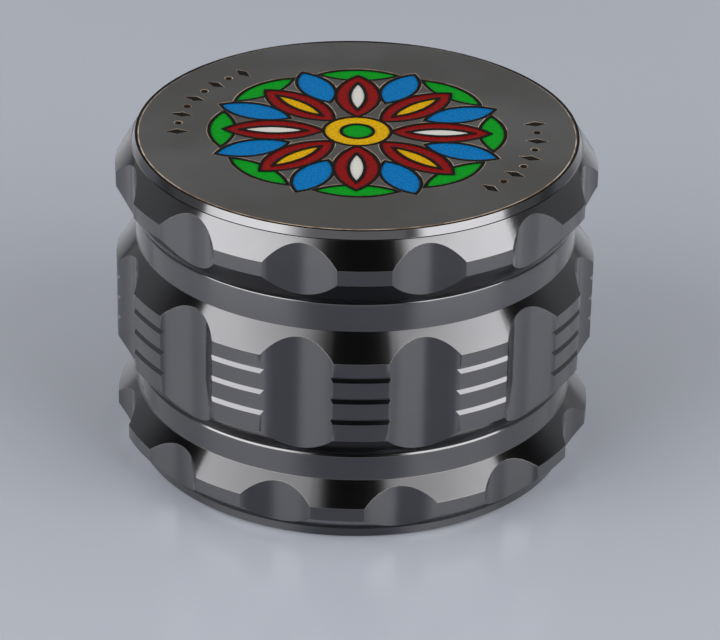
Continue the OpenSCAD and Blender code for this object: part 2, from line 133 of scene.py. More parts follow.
# Rings, skirts and the spigot, from the band inwards
RING_W = 1.1
THREAD_DEPTH = 0.6
SKIRT_WALL = 1.6
SPIGOT_WALL = 1.6
SPIGOT_CLEAR = 0.08
SPIGOT_END_GAP = 0.6
SEAL_SEAT_R = reach_of("base_seal") + SEAT_CLEAR
GLIDE_SEAT_R = reach_of("glide_ring") + SEAT_CLEAR
THREAD_BORE_R = SEAL_SEAT_R - RING_W - 2 * SEAT_CLEAR
THREAD_CORE_R = THREAD_BORE_R - THREAD_DEPTH
SKIRT_BORE_R = THREAD_CORE_R - SKIRT_WALL
SPIGOT_R = GLIDE_SEAT_R - RING_W - 2 * SEAT_CLEAR
SPIGOT_BORE_R = SPIGOT_R - SPIGOT_WALL
SPIGOT_TOP = CEILING - SPIGOT_END_GAP
LID_BORE_R = SPIGOT_R + SPIGOT_CLEAR

# Threads: the skirt's is the inner one of each pair
SKIRT_LENGTH = 5.0
THREAD_END_GAP = 0.3
THREAD_LEAD = 0.5
INNER_THREAD_LENGTH = 4.4
OUTER_THREAD_LENGTH = 3.9
PITCH = 2.0
RIDGE_H = 0.46
RIDGE_W = 0.8
RIDGE_SINK = 0.05

# Sieve
CAVITY_R = 25.3
LEDGE_W = 1.3
LEDGE_T = 0.7
FUNNEL_H = 2.0
SNAP_BITE = 0.45
LEDGE_BORE_R = SKIRT_BORE_R - LEDGE_W
LEDGE = top_of("sieve_frame")
LEDGE_TOP = LEDGE + LEDGE_T
FUNNEL_TOP = LEDGE_TOP + FUNNEL_H
FRAME_FOOT = foot_of("sieve_frame")
FRAME_W = 1.05
SNAP_GROOVE_R = SKIRT_BORE_R + SNAP_BITE
SNAP_GROOVE_FOOT = foot_of("sieve_snap_ring") - SEAT_CLEAR
CLOTH_R = reach_of("sieve_mesh")
CLOTH_MIDDLE = (foot_of("sieve_mesh") + top_of("sieve_mesh")) / 2
WIRE_R = 0.055
WIRE_PITCH = 0.55

# Magnets, boss and post
MAGNET_CLEAR = 0.03
MAGNET_WALL = 1.2
MAGNET_R = reach_of("lid_magnet")
POCKET_R = MAGNET_R + MAGNET_CLEAR
BOSS_R = MAGNET_R + MAGNET_WALL
LID_MAGNET = foot_of("lid_magnet")
LID_MAGNET_TOP = top_of("lid_magnet")
CHAMBER_MAGNET = foot_of("chamber_magnet")
POST_TOP = top_of("chamber_magnet")

# Teeth and holes, in rings counted from the outermost inwards
TEETH_INSET = 2.3
OUTER_TEETH_R = SPIGOT_BORE_R - TEETH_INSET
TEETH_STEP = 3.0
TOOTH_SPACING = 9.1
TOOTH_W = 2.4
TOOTH_TIP_W = 1.2
TOOTH_L = 3.8
TOOTH_BEVEL = 0.7
TOOTH_GAP = 0.4
TOOTH_SINK = 0.2
HOLE_R = 1.45
HOLE_SPACING = 7.1
HOLE_INSET = 0.3
DRILL_LENGTH = 4
LID_TEETH = (0, 2, 4)
CHAMBER_TEETH = (1, 3, 5)

# Chamfer round the top of each smooth band
CHAMFER_H = 0.25
CHAMFER_W = 0.14

# Sloped edge round the disc and its enamel, in bronze that is lightened to paint a highlight line
SLOPE_W = 0.13
SLOPE_DROP = 0.05

# Broken edges
EDGE = 0.055
FINE_EDGE = 0.03
FRAME_EDGE = 0.06
RING_EDGE = 0.1
MAGNET_EDGE = 0.25
FILM_EDGE = 0.03
MERGE = 0.002

# How finely round shapes are stepped
LATHE_STEPS = 288
DISC_STEPS = 144
THREAD_STEPS = 180
HOLE_STEPS = 32
BOWL_STEPS = 16
RIM_STEPS = 6


# ---- modelling by hand-like steps ----

def at(radius, height, angle=0):
    """The point at a radius, height and angle, in metres."""
    turn = math.radians(angle)
    return Vector((radius * math.cos(turn), radius * math.sin(turn), height)) * MM


def radius_of(point):
    """Distance of a point from the axis, in millimetres."""
    return math.hypot(point.x, point.y) / MM


def angle_of(point):
    """Angle of a point round the axis, in degrees."""
    return math.degrees(math.atan2(point.y, point.x))


def near(value, target, slack=0.01):
    return abs(value - target) < slack


def deselect():
    bpy.ops.object.select_all(action="DESELECT")


def choose(piece):
    """Selects one piece alone and makes it the active one."""
    deselect()
    bpy.context.view_layer.objects.active = piece
    piece.select_set(True)


def edit(piece):
    """Goes into edit mode on one piece."""
    choose(piece)
    bpy.ops.object.mode_set(mode="EDIT")


def leave_edit():
    bpy.ops.object.mode_set(mode="OBJECT")


def named(name):
    """Names the active object and its mesh."""
    piece = bpy.context.object
    piece.name = name
    piece.data.name = name
    return piece


def pick_points(piece, wanted):
    """Selects the vertices whose place passes a test."""
    bpy.ops.mesh.select_mode(type="VERT")
    bpy.ops.mesh.select_all(action="DESELECT")
    mesh = bmesh.from_edit_mesh(piece.data)
    for point in mesh.verts:
        point.select_set(wanted(point.co))
    mesh.select_flush_mode()
    bmesh.update_edit_mesh(piece.data)


def pick_faces(piece, wanted):
    """Selects the faces whose points pass a test."""
    bpy.ops.mesh.select_mode(type="FACE")
    bpy.ops.mesh.select_all(action="DESELECT")
    mesh = bmesh.from_edit_mesh(piece.data)
    for side in mesh.faces:
        side.select_set(wanted([point.co for point in side.verts]))
    bmesh.update_edit_mesh(piece.data)


def leave_sharp(piece, kept):
    """Marks the selected edges whose middle passes a test as sharp, and takes them out of the selection."""
    mesh = bmesh.from_edit_mesh(piece.data)
    for line in mesh.edges:
        if line.select and kept((line.verts[0].co + line.verts[1].co) / 2):
            line.smooth = False
            line.select_set(False)
    bmesh.update_edit_mesh(piece.data)


def merge_doubles():
    bpy.ops.mesh.select_all(action="SELECT")
    bpy.ops.mesh.remove_doubles(threshold=MERGE * MM)


def face_outwards():
    bpy.ops.mesh.select_all(action="SELECT")
    bpy.ops.mesh.normals_make_consistent(inside=False)


def break_edges(piece, width, sharper_than=15, keep=None, segments=2, finish=-1):
    """Bevels every edge that is sharper than an angle, except those that keep names, which stay sharp.
    The new faces take the finish in a slot of the piece, or with -1 that of the faces beside them."""
    bpy.ops.mesh.select_mode(type="EDGE")
    bpy.ops.mesh.select_all(action="DESELECT")
    bpy.ops.mesh.edges_select_sharp(sharpness=math.radians(sharper_than))
    if keep:
        leave_sharp(piece, keep)
    bpy.ops.mesh.bevel(offset=width * MM, segments=segments, affect="EDGES", clamp_overlap=True,
                       material=finish)
    bpy.ops.mesh.dissolve_degenerate(threshold=MERGE * MM / 4)
    bpy.ops.mesh.select_mode(type="VERT")


def apply_modifier(piece, kind, **settings):
    modifier = piece.modifiers.new(kind.title(), kind)
    for name, value in settings.items():
        setattr(modifier, name, value)
    choose(piece)
    bpy.ops.object.modifier_apply(modifier=modifier.name)


def rescale(piece, share):
    """Makes a piece larger or smaller in its mesh."""
    choose(piece)
    bpy.ops.transform.resize(value=(share, share, share), center_override=(0, 0, 0))
    bpy.ops.object.transform_apply(location=True, rotation=False, scale=True)


def polish(piece):
    """Smooth shading that keeps wide faces flat and lets broken edges turn the light. The modifier passes
    over faces under a tenth of a square millimetre, so the piece is a thousand times larger meanwhile."""
    choose(piece)
    bpy.ops.object.shade_smooth()
    rescale(piece, 1 / MM)
    apply_modifier(piece, "WEIGHTED_NORMAL", mode="FACE_AREA_WITH_ANGLE", keep_sharp=True)
    rescale(piece, MM)
    return piece


def two_finishes(piece):
    """Empty slots for the finish of a piece's faces and for that of its broken edges."""
    piece.data.materials.clear()
    piece.data.materials.append(None)
    piece.data.materials.append(None)


def draw_outline(name, outline):
    """Draws a half outline of (radius, height) points as edges, and stays in edit mode.
    An outline that starts and ends on the axis stays open there, and any other one is closed."""
    deselect()
    bpy.ops.mesh.primitive_plane_add(size=MM)
    piece = named(name)
    two_finishes(piece)
    bpy.ops.object.mode_set(mode="EDIT")
    bpy.ops.mesh.merge(type="CENTER")
    bpy.ops.transform.translate(value=at(*outline[0]))
    open_ended = outline[0][0] == 0 and outline[-1][0] == 0
    stops = outline[1:] if open_ended else outline[1:] + outline[:1]
    here = outline[0]
    for stop in stops:
        step = at(*stop) - at(*here)
        bpy.ops.mesh.extrude_region_move(TRANSFORM_OT_translate={"value": step})
        here = stop
    merge_doubles()
    return piece


def sweep(angle, steps):
    """Spins the selected outline on round the axis."""
    bpy.ops.mesh.spin(steps=steps, angle=math.radians(angle), center=(0, 0, 0), axis=(0, 0, -1))


def copy_round(count, angle):
    """Copies what is selected to the other places of a ring, a given angle apart."""
    bpy.ops.mesh.spin(dupli=True, steps=count - 1, angle=math.radians(angle * (count - 1)),
                      center=(0, 0, 0), axis=(0, 0, -1))


def turn_all(angle):
    """Turns the whole mesh round the axis, anticlockwise from above."""
    bpy.ops.mesh.select_all(action="SELECT")
    bpy.ops.transform.rotate(value=-math.radians(angle), orient_axis="Z", center_override=(0, 0, 0))


def turned(name, outline, steps=LATHE_STEPS, edge=EDGE, sharper_than=15):
    """A piece turned on a lathe from its half outline, with its edges broken."""
    piece = draw_outline(name, outline)
    sweep(360, steps)
    merge_doubles()
    face_outwards()
    break_edges(piece, edge, sharper_than)
    leave_edit()
    return polish(piece)


def join(name, pieces):
    """Joins pieces into the first one."""
    deselect()
    for piece in pieces:
        piece.select_set(True)
    bpy.context.view_layer.objects.active = pieces[0]
    bpy.ops.object.join()
    return named(name)


def copy_of(node, name):
    """A merged copy of a CAD node's mesh, in edit mode."""
    piece = bpy.data.objects.new(name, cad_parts[node].data.copy())
    bpy.context.scene.collection.objects.link(piece)
    two_finishes(piece)
    edit(piece)
    piece.data.name = name
    bpy.ops.mesh.customdata_custom_splitnormals_clear()
    merge_doubles()
    return piece


# ---- fluted sections ----

WEDGE = 360 / FLUTE_COUNT
LIP = 1.0
LIP_STEPS = 4
MIDDLE_STEPS = 16
PLAIN_STEPS = 6


class Flute:
    """A finger flute, by the radius of its round cutter and its depth below the grip land."""

    def __init__(self, cutter_r, depth):
        self.cutter_r = cutter_r
        self.axis_r = GRIP_R - depth + cutter_r
        share = (self.axis_r ** 2 + GRIP_R ** 2 - cutter_r ** 2) / (2 * self.axis_r * GRIP_R)
        self.crease = math.degrees(math.acos(share))

    def wall(self, angle):
        """Radius of the wall at an angle from the flute's middle."""
        turn = math.radians(angle)
        aside = self.axis_r * math.sin(turn)
        return self.axis_r * math.cos(turn) - math.sqrt(self.cutter_r ** 2 - aside ** 2)

    def spans(self):
        """Angles and steps that spin one wedge, with its columns closer together at the flute's lips."""
        plain = (WEDGE / 2 - self.crease, PLAIN_STEPS)
        lip = (LIP, LIP_STEPS)
        return [plain, lip, (2 * (self.crease - LIP), MIDDLE_STEPS), lip, plain]

    def columns(self):
        """Angles from the flute's middle at which the wedge has columns of points inside the flute."""
        inner = self.crease - LIP
        middle = [inner * i * 2 / MIDDLE_STEPS for i in range(MIDDLE_STEPS // 2 + 1)]
        return middle + [inner + LIP * i / LIP_STEPS for i in range(1, LIP_STEPS)]


LID_FLUTE = Flute(cutter_r=9.2, depth=1.7)
BODY_FLUTE = Flute(cutter_r=8.0, depth=1.9)


def sink_flute(piece, flute, high_points):
    """Pulls the points that stand out past the cutter in to its wall. high_points lists (radius, height,
    slide, reach): a point moves up by the slide for each millimetre that it goes in, up to the reach."""
    for column in flute.columns():
        wall = flute.wall(column)
        for radius, height, slide, reach in high_points:
            if radius <= wall:
                continue

            def in_column(point):
                return (near(abs(angle_of(point) - WEDGE / 2), column) and near(radius_of(point), radius)
                        and near(point.z / MM, height))

            pick_points(piece, in_column)
            share = wall / radius
            bpy.ops.transform.resize(value=(share, share, 1), center_override=(0, 0, height * MM))
            if slide:
                rise = slide * min(radius - wall, reach)
                bpy.ops.transform.translate(value=(0, 0, rise * MM))


def fluted(name, outline, flute, high_points, turn, keep=None):
    """A turned section with finger flutes: one wedge is spun, its flute sunk, and copied round."""
    piece = draw_outline(name, outline)
    for angle, steps in flute.spans():
        sweep(angle, steps)
    merge_doubles()
    sink_flute(piece, flute, high_points)
    bpy.ops.mesh.select_all(action="SELECT")
    copy_round(FLUTE_COUNT, WEDGE)
    merge_doubles()
    face_outwards()
    turn_all(turn - WEDGE / 2)
    break_edges(piece, FINE_EDGE, 20, keep, finish=1)
    leave_edit()
    return polish(piece)


def land_points(foot, bottom, top, shoulder, foot_r, shoulder_r):
    """The two edges of a grip land, which slide along the cones below and above it as far as need be."""
    return [(GRIP_R, bottom, -(bottom - foot) / (GRIP_R - foot_r), math.inf),
            (GRIP_R, top, (shoulder - top) / (GRIP_R - shoulder_r), math.inf)]


def arc(centre_r, centre_z, radius, start, end, steps):
    """Points on an arc of a half outline, in degrees from outwards towards up."""
    angles = [math.radians(start + (end - start) * i / steps) for i in range(steps + 1)]
    return [(centre_r + radius * math.cos(a), centre_z + radius * math.sin(a)) for a in angles]


def groove_points():
    """Points of the three turned grooves, from the lowest to the highest. The lips slide along the
    groove's walls, and the bottom stays level."""
    bottom_r = GRIP_R - GROOVE_DEPTH
    low_slide = (GROOVE_HALF + GROOVE_BOTTOM) / GROOVE_DEPTH
    high_slide = -(GROOVE_HALF - GROOVE_BOTTOM_TOP) / GROOVE_DEPTH
    points = []
    for middle in GROOVES:
        points += [(GRIP_R, middle - GROOVE_HALF, low_slide, GROOVE_DEPTH),
                   (bottom_r, middle + GROOVE_BOTTOM, 0, 0),
                   (bottom_r, middle + GROOVE_BOTTOM_TOP, 0, 0),
                   (GRIP_R, middle + GROOVE_HALF, high_slide, GROOVE_DEPTH)]
    return points


def band_top(height):
    """The chamfer round the top of a smooth band."""
    return [(BAND_R, height - CHAMFER_H), (BAND_R - CHAMFER_W, height)]


def rim_points():
    """The fillet at the foot of the lid's rim, which leaves a narrow ledge outside it."""
    turn = math.radians(90 - RIM_TILT)
    top = RIM_Z + RIM_FILLET * (1 - math.cos(turn))
    centre_r = FACE_R + (FACE_Z - top) * math.tan(math.radians(RIM_TILT)) + RIM_FILLET * math.sin(turn)
    return arc(centre_r, RIM_Z + RIM_FILLET, RIM_FILLET, 180 + RIM_TILT, 270, RIM_STEPS)


def make_lid():
    """The lid, with the seat of its disc, the bore over the chamber's spigot and the boss of its magnet."""
    outline = [(0, DISC_SEAT_Z), (DISC_SEAT_R, DISC_SEAT_Z), (DISC_SEAT_R, FACE_Z), (FACE_R, FACE_Z),
               *rim_points(), (RIM_R, RIM_Z), (GRIP_R, LID_LAND_TOP), (GRIP_R, LID_LAND), (BAND_R, LID_FOOT),
               (LID_BORE_R, LID_FOOT), (LID_BORE_R, CEILING), (BOSS_R, CEILING), (BOSS_R, LID_MAGNET),
               (POCKET_R, LID_MAGNET), (POCKET_R, LID_MAGNET_TOP), (0, LID_MAGNET_TOP)]
    high = land_points(LID_FOOT, LID_LAND, LID_LAND_TOP, RIM_Z, BAND_R, RIM_R)
    return fluted("lid_shell", outline, LID_FLUTE, high, LID_TURN)


def make_stash():
    """The sieve chamber, with its grip grooves, its threaded skirt and the ledge and groove of the sieve."""
    grooves = groove_points()
    skirt_foot = STASH_FOOT - SKIRT_LENGTH
    bore_foot = STASH_TOP - SKIRT_LENGTH - THREAD_END_GAP
    outline = [(SKIRT_BORE_R, skirt_foot), (THREAD_CORE_R, skirt_foot), (THREAD_CORE_R, STASH_FOOT),
               (BAND_R, STASH_FOOT), (GRIP_R, STASH_LAND), *[point[:2] for point in grooves],
               (GRIP_R, STASH_LAND_TOP),
               (BAND_R, STASH_TOP), (SEAL_SEAT_R, STASH_TOP), (SEAL_SEAT_R, STASH_TOP - RING_SEAT),
               (THREAD_BORE_R, STASH_TOP - RING_SEAT), (THREAD_BORE_R, bore_foot), (CAVITY_R, bore_foot),
               (CAVITY_R, FUNNEL_TOP), (LEDGE_BORE_R, LEDGE_TOP), (LEDGE_BORE_R, LEDGE),
               (SKIRT_BORE_R, LEDGE), (SKIRT_BORE_R, FRAME_FOOT), (SNAP_GROOVE_R, FRAME_FOOT),
               (SNAP_GROOVE_R, SNAP_GROOVE_FOOT), (SKIRT_BORE_R, SNAP_GROOVE_FOOT)]
    high = land_points(STASH_FOOT, STASH_LAND, STASH_LAND_TOP, STASH_TOP, BAND_R, BAND_R) + grooves

    def beside_grooves(point):
        height = point.z / MM
        return radius_of(point) > BAND_R - EDGE and STASH_LAND + EDGE < height < STASH_LAND_TOP - EDGE

    return fluted("stash_shell", outline, BODY_FLUTE, high, STASH_TURN, keep=beside_grooves)


def make_base():
    """The base, with its foot, its filleted bowl and the bore that takes the skirt above."""
    bore_foot = STASH_FOOT - SKIRT_LENGTH - THREAD_END_GAP
    corner = arc(SKIRT_BORE_R - BOWL_FILLET, BOWL_FLOOR + BOWL_FILLET, BOWL_FILLET, 0, -90,
                 BOWL_STEPS)
    outline = [(0, RECESS), (FOOT_R - FOOT_RING_W, RECESS), (FOOT_R - FOOT_RING_W, 0), (FOOT_R, 0),
               (FOOT_R, FOOT_TOP), (GRIP_R, BASE_LAND), (GRIP_R, BASE_LAND_TOP), (BAND_R, BASE_BAND),
               *band_top(BASE_TOP), (SEAL_SEAT_R, BASE_TOP), (SEAL_SEAT_R, BASE_TOP - RING_SEAT),
               (THREAD_BORE_R, BASE_TOP - RING_SEAT), (THREAD_BORE_R, bore_foot),
               (SKIRT_BORE_R, bore_foot), *corner, (0, BOWL_FLOOR)]
    high = land_points(FOOT_TOP, BASE_LAND, BASE_LAND_TOP, BASE_BAND, FOOT_R, BAND_R)
    return fluted("base_shell", outline, BODY_FLUTE, high, BASE_TURN)


# ---- grinding chamber, teeth and threads ----

def ring_radius(ring):
    """Radius of a ring of teeth or holes."""
    return OUTER_TEETH_R - ring * TEETH_STEP


def copies_on(radius, spacing):
    """How many copies go round a ring at about a given spacing."""
    return round(2 * math.pi * radius / spacing)


def make_hole_drills():
    """The drills for the holes in the chamber's floor, as one piece."""
    rings = []
    for ring in LID_TEETH:
        radius = ring_radius(ring) - HOLE_INSET
        count = copies_on(radius, HOLE_SPACING)
        deselect()
        bpy.ops.mesh.primitive_cylinder_add(vertices=HOLE_STEPS, radius=HOLE_R * MM,
                                            depth=DRILL_LENGTH * MM,
                                            location=at(radius, (FLOOR + FLOOR_TOP) / 2))
        piece = named("drills")
        bpy.ops.object.transform_apply(location=True)
        bpy.ops.object.mode_set(mode="EDIT")
        bpy.ops.mesh.select_all(action="SELECT")
        copy_round(count, 360 / count)
        turn_all(180 / count)
        leave_edit()
        rings.append(piece)
    return join("drills", rings)


def make_chamber():
    """The grinding chamber, with its drilled floor, its spigot, its magnet's post and its skirt."""
    skirt_foot = STASH_TOP - SKIRT_LENGTH
    outline = [(0, FLOOR), (SKIRT_BORE_R, FLOOR), (SKIRT_BORE_R, skirt_foot), (THREAD_CORE_R, skirt_foot),
               (THREAD_CORE_R, STASH_TOP), (BAND_R, STASH_TOP), *band_top(CHAMBER_TOP),
               (GLIDE_SEAT_R, CHAMBER_TOP), (GLIDE_SEAT_R, CHAMBER_TOP - RING_SEAT),
               (SPIGOT_R, CHAMBER_TOP - RING_SEAT), (SPIGOT_R, SPIGOT_TOP), (SPIGOT_BORE_R, SPIGOT_TOP),
               (SPIGOT_BORE_R, FLOOR_TOP), (BOSS_R, FLOOR_TOP), (BOSS_R, POST_TOP), (POCKET_R, POST_TOP),
               (POCKET_R, CHAMBER_MAGNET), (0, CHAMBER_MAGNET)]
    piece = draw_outline("chamber_shell", outline)
    sweep(360, LATHE_STEPS)
    merge_doubles()
    face_outwards()
    leave_edit()
    drills = make_hole_drills()
    apply_modifier(piece, "BOOLEAN", operation="DIFFERENCE", object=drills, solver="EXACT")
    bpy.data.objects.remove(drills)
    edit(piece)
    break_edges(piece, EDGE, 30, finish=1)
    leave_edit()
    return polish(piece)


def make_tooth(ring, root, tip):
    """One diamond tooth, standing up or hanging down from its root, with its tip bevelled both ways."""
    radius = ring_radius(ring)
    up = 1 if tip > root else -1
    deselect()
    bpy.ops.mesh.primitive_cylinder_add(vertices=4, radius=1, depth=1, location=(0, 0, 0))
    tooth = named("tooth")
    bpy.ops.object.mode_set(mode="EDIT")
    bpy.ops.transform.resize(value=(TOOTH_W / 2 * MM, TOOTH_L / 2 * MM, abs(tip - root) * MM),
                             center_override=(0, 0, 0))
    bpy.ops.transform.translate(value=at(radius, (root + tip) / 2))
    for side in (-1, 1):
        bpy.ops.mesh.select_all(action="SELECT")
        bpy.ops.mesh.bisect(plane_co=at(radius + side * TOOTH_TIP_W / 2, tip),
                            plane_no=(side * TOOTH_BEVEL, 0, up * TOOTH_W * 2 / 3),
                            use_fill=True, clear_outer=True)
    bpy.ops.mesh.select_all(action="SELECT")
    bpy.ops.mesh.bevel(offset=EDGE * MM, segments=2, affect="EDGES")
    face_outwards()
    leave_edit()
    return tooth


def make_teeth(name, rings, root, tip):
    """Rings of teeth, each ring copied round from one tooth."""
    made = []
    for ring in rings:
        count = copies_on(ring_radius(ring), TOOTH_SPACING)
        tooth = make_tooth(ring, root, tip)
        edit(tooth)
        bpy.ops.mesh.select_all(action="SELECT")
        copy_round(count, 360 / count)
        turn_all(ring / 2 * 360 / count)
        leave_edit()
        made.append(tooth)
    return polish(join(name, made))


def make_thread(name, root_r, height, start, length, first_angle):
    """A helical ridge that stands out from its root radius, or in where its height is negative."""
    crest_r = root_r + height
    sunk_r = root_r - math.copysign(RIDGE_SINK, height)
    half = RIDGE_W / 2
    outline = [(sunk_r, start - half), (root_r, start - half), (crest_r, start - half / 3),
               (crest_r, start + half / 3), (root_r, start + half), (sunk_r, start + half)]
    piece = draw_outline(name, outline)
    turn_all(first_angle)
    leave_edit()
    turns = (length - RIDGE_W) / PITCH
    apply_modifier(piece, "SCREW", axis="Z", angle=turns * math.tau, screw_offset=turns * PITCH * MM,
                   iterations=1, steps=THREAD_STEPS, render_steps=THREAD_STEPS, use_merge_vertices=False)
    edit(piece)
    close_ends(piece)
    face_outwards()
    leave_edit()
    return polish(piece)


def close_ends(piece):
    """Closes the open ends of a tube with a face each."""
    bpy.ops.mesh.select_mode(type="EDGE")
    bpy.ops.mesh.select_all(action="DESELECT")
    bpy.ops.mesh.select_non_manifold(extend=False, use_wire=False, use_boundary=True, use_multi_face=False,
                                     use_non_contiguous=False, use_verts=False)
    bpy.ops.mesh.edge_face_add()
    bpy.ops.mesh.select_mode(type="VERT")


# ---- sieve, rings, magnets and disc ----

def make_wires(name, lead):
    """The wires of the cloth that run one way, over and under the others in turn."""
    half = math.ceil(CLOTH_R / WIRE_PITCH)
    deselect()
    bpy.ops.mesh.primitive_grid_add(x_subdivisions=2 * half, y_subdivisions=2 * half,
                                    size=2 * half * WIRE_PITCH * MM, location=(0, 0, CLOTH_MIDDLE * MM))
    piece = named(name)
    bpy.ops.object.transform_apply(location=True)
    bpy.ops.object.mode_set(mode="EDIT")
    bpy.ops.mesh.select_mode(type="EDGE")
    bpy.ops.mesh.delete(type="ONLY_FACE")
    mesh = bmesh.from_edit_mesh(piece.data)
    for line in mesh.edges:
        line.select_set(near(line.verts[0].co.x, line.verts[1].co.x, WIRE_R * MM))
    bmesh.update_edit_mesh(piece.data)
    bpy.ops.mesh.delete(type="EDGE")
    pick_points(piece, lambda point: radius_of(point) > CLOTH_R)
    bpy.ops.mesh.delete(type="VERT")

    def goes_over(point):
        crossing = round(point.x / MM / WIRE_PITCH) + round(point.y / MM / WIRE_PITCH)
        return (crossing + lead) % 2 == 0

    pick_points(piece, goes_over)
    bpy.ops.transform.translate(value=(0, 0, WIRE_R * MM))
    pick_points(piece, lambda point: not goes_over(point))
    bpy.ops.transform.translate(value=(0, 0, -WIRE_R * MM))
    leave_edit()
    bpy.ops.object.convert(target="CURVE")
    curve = bpy.context.object.data
    curve.bevel_depth = WIRE_R * MM
    curve.bevel_resolution = 0
    curve.use_fill_caps = True
    bpy.ops.object.convert(target="MESH")
    piece = named(name)
    edit(piece)
    merge_doubles()
    leave_edit()
    return piece


def make_cloth():
    """The sieve's woven wire cloth."""
    weft = make_wires("sieve_cloth", 0)
    warp = make_wires("warp", 1)
    edit(warp)
    turn_all(90)
    leave_edit()
    return polish(join("sieve_cloth", [weft, warp]))


def flat_ring(name, inner_r, outer_r, foot, top, edge):
    outline = [(inner_r, foot), (outer_r, foot), (outer_r, top), (inner_r, top)]
    return turned(name, outline, edge=edge)


def flat_disc(name, radius, foot, top, edge):
    outline = [(0, foot), (radius, foot), (radius, top), (0, top)]
    return turned(name, outline, DISC_STEPS, edge)


def make_sieve_frame():
    """A ring folded over the edge of the cloth."""
    slot_foot = foot_of("sieve_mesh")
    slot_top = top_of("sieve_mesh")
    outer_r = reach_of("sieve_frame")
    inner_r = outer_r - FRAME_W
    outline = [(inner_r, FRAME_FOOT), (outer_r, FRAME_FOOT), (outer_r, LEDGE), (inner_r, LEDGE),
               (inner_r, slot_top), (CLOTH_R, slot_top), (CLOTH_R, slot_foot), (inner_r, slot_foot)]
    return turned("sieve_hoop", outline, edge=FRAME_EDGE, sharper_than=30)


def make_snap_ring():
    """The spring ring that holds the sieve, with its corners broken."""
    piece = copy_of("sieve_snap_ring", "snap_ring")
    bpy.ops.mesh.dissolve_limited(angle_limit=math.radians(1))
    break_edges(piece, FINE_EDGE, 30)
    leave_edit()
    return polish(piece)


def make_disc():
    """The inlaid disc: the edge round it and round every recess slopes down from its face, and takes bronze
    that is lightened to paint a highlight line there.
    """
    piece = copy_of("top_disc", "disc_plate")
    pick_faces(piece, lambda points: all(near(point.z / MM, FACE_Z) for point in points))
    bpy.ops.transform.translate(value=(0, 0, -SLOPE_DROP * MM))
    bpy.ops.mesh.inset(thickness=SLOPE_W * MM, depth=0, use_boundary=True, use_even_offset=False)
    bpy.ops.transform.translate(value=(0, 0, SLOPE_DROP * MM))

    def in_slope(points):
        heights = [point.z / MM for point in points]
        return near(max(heights), FACE_Z) and near(min(heights), FACE_Z - SLOPE_DROP)

    pick_faces(piece, in_slope)
    piece.active_material_index = 1
    bpy.ops.object.material_slot_assign()
    leave_edit()
    choose(piece)
    bpy.ops.object.shade_flat()
    return piece


def make_enamel(node):
    """The enamel of one colour, a little below the face of the disc."""
    piece = copy_of(node, node + "_inlay")
    leave_edit()
    choose(piece)
    bpy.ops.object.shade_flat()
    return piece


# ---- materials ----

class Number:
    """A number that varies over a surface or a lamp. Arithmetic on it adds Math nodes."""

    def __init__(self, tree, socket):
        self.tree = tree
        self.socket = socket

    def math(self, operation, *others, first=None):
        values = [self, *others] if first is None else [first, self, *others]
        return self.tree.math(operation, *values)

    def __add__(self, other):
        return self.math("ADD", other)

    def __radd__(self, other):
        return self.math("ADD", other)

    def __sub__(self, other):
        return self.math("SUBTRACT", other)

    def __rsub__(self, other):
        return self.math("SUBTRACT", first=other)

    def __mul__(self, other):
        return self.math("MULTIPLY", other)

    def __rmul__(self, other):
        return self.math("MULTIPLY", other)


class Tree:
    """The nodes of a material, a lamp or the world, added in plain steps."""

    def __init__(self, owner):
        owner.use_nodes = True
        self.nodes = owner.node_tree.nodes
        self.links = owner.node_tree.links
        self.nodes.clear()

    def add(self, kind, settings=None, sockets=None):
        """A node of a kind, with its settings set first and then its sockets filled or linked."""
        node = self.nodes.new(kind)
        for name, value in (settings or {}).items():
            setattr(node, name, value)
        for name, value in (sockets or {}).items():
            socket = node.inputs[name]
            source = value.socket if isinstance(value, Number) else value
            if isinstance(source, bpy.types.NodeSocket):
                self.links.new(source, socket)
            else:
                socket.default_value = source
        return node

    def math(self, operation, *values):
        sockets = dict(enumerate(values))
        return Number(self, self.add("ShaderNodeMath", {"operation": operation}, sockets).outputs[0])

    def part(self, vector, letter):
        """One of the three numbers of a vector."""
        split = self.add("ShaderNodeSeparateXYZ", None, {"Vector": vector})
        return Number(self, split.outputs[letter])

    def ramp(self, value, low, high, first=0, last=1):
        """The first number below low, the last one above high, and a smooth step between."""
        sockets = {"Value": value, "From Min": low, "From Max": high, "To Min": first, "To Max": last}
        node = self.add("ShaderNodeMapRange", {"interpolation_type": "SMOOTHSTEP"}, sockets)
        return Number(self, node.outputs["Result"])


